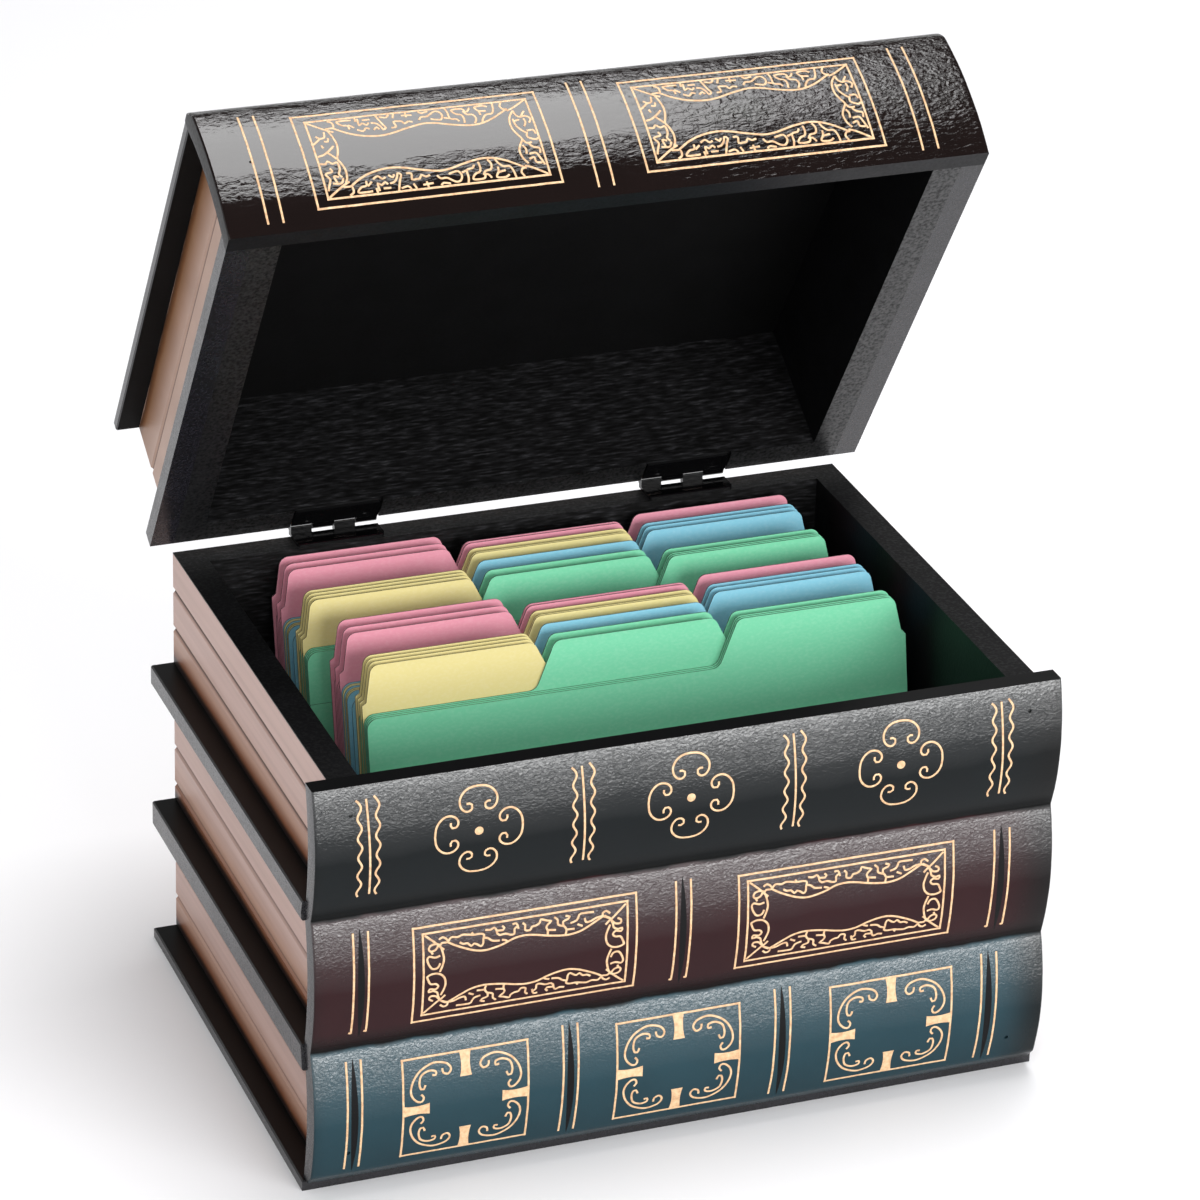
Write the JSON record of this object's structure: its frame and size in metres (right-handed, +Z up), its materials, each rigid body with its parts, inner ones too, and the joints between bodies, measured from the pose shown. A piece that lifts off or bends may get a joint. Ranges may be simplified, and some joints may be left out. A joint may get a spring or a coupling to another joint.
{
  "type": "index card box",
  "caption": "Hinged wooden box shaped as a stack of old books, its lid the top book, holding tabbed index card guides in several colours.",
  "frame": {"origin": "middle of the bottom board's underside", "axes": "+X along the books' spines to the right as seen from the front, +Y from the spines to the hinges, +Z up"},
  "size_m": [0.206, 0.1777, 0.2609],
  "materials": {
    "black_board": "black satin paint on fibreboard",
    "page_board": "satin paint, tan with a brown glaze",
    "spine_board": "pebbled semi-gloss paint with gold lines",
    "black_metal": "gloss black",
    "steel": "plain",
    "pink_card": "matt",
    "yellow_card": "matt",
    "blue_card": "matt",
    "green_card": "matt"
  },
  "bodies": {
    "box": {"back_page_wall": "black_board", "base_board": "black_board", "box_hinge_screws": "black_metal", "box_spine_board": "spine_board", "box_spine_brads": "steel", "left_hinge_box_leaf": "black_metal", "left_hinge_pin": "steel", "left_lower_cover_strip": "black_board", "left_page_wall": "page_board", "left_upper_cover_strip": "black_board", "rear_blue_centre_guides": "blue_card", "rear_blue_right_guides": "blue_card", "rear_green_centre_guides": "green_card", "rear_green_plain_card": "green_card", "rear_green_right_guides": "green_card", "rear_pink_centre_guides": "pink_card", "rear_pink_left_guides": "pink_card", "rear_pink_right_guides": "pink_card", "rear_yellow_centre_guides": "yellow_card", "rear_yellow_left_guides": "yellow_card", "right_hinge_box_leaf": "black_metal", "right_hinge_pin": "steel", "right_lower_cover_strip": "black_board", "right_page_wall": "page_board", "right_upper_cover_strip": "black_board"},
    "lid": {"lid_top_board": "black_board", "lid_left_page_wall": "page_board", "lid_right_page_wall": "page_board", "lid_back_page_wall": "black_board", "lid_spine_board": "spine_board", "lid_left_rim_strip": "black_board", "lid_right_rim_strip": "black_board", "left_hinge_lid_leaf": "black_metal", "right_hinge_lid_leaf": "black_metal", "lid_hinge_screws": "black_metal", "lid_spine_brads": "steel"},
    "front_pink_packet": {"front_pink_left_guides": "pink_card", "front_pink_right_guides": "pink_card", "front_pink_centre_guides": "pink_card"},
    "front_blue_packet": {"front_blue_right_guides": "blue_card", "front_yellow_centre_guides": "yellow_card", "front_blue_centre_guides": "blue_card"},
    "front_green_packet": {"front_yellow_left_guides": "yellow_card", "front_green_centre_guides": "green_card", "front_green_right_guides": "green_card", "front_green_plain_card": "green_card"}
  },
  "joints": [
    {"name": "lid_hinge", "type": "hinge", "parent": "box", "child": "lid", "pos_m": [0, 0.06935, 0.12106], "axis": [-1, 0, 0], "range_deg": [-58, 122]},
    {"name": "green_guides_tilt", "type": "hinge", "parent": "box", "child": "front_green_packet", "pos_m": [0.0075, -0.037, 0.0034], "axis": [1, 0, 0], "range_deg": [0, 25]},
    {"name": "blue_guides_tilt", "type": "hinge", "parent": "box", "child": "front_blue_packet", "pos_m": [0.0075, -0.02358, 0.0034], "axis": [1, 0, 0], "range_deg": [0, 25]},
    {"name": "pink_guides_tilt", "type": "hinge", "parent": "box", "child": "front_pink_packet", "pos_m": [0.0075, -0.01358, 0.0034], "axis": [1, 0, 0], "range_deg": [0, 25]}
  ],
  "couplings": [
    {"joint": "blue_guides_tilt", "follows": "green_guides_tilt", "ratio": 1},
    {"joint": "pink_guides_tilt", "follows": "green_guides_tilt", "ratio": 1}
  ]
}
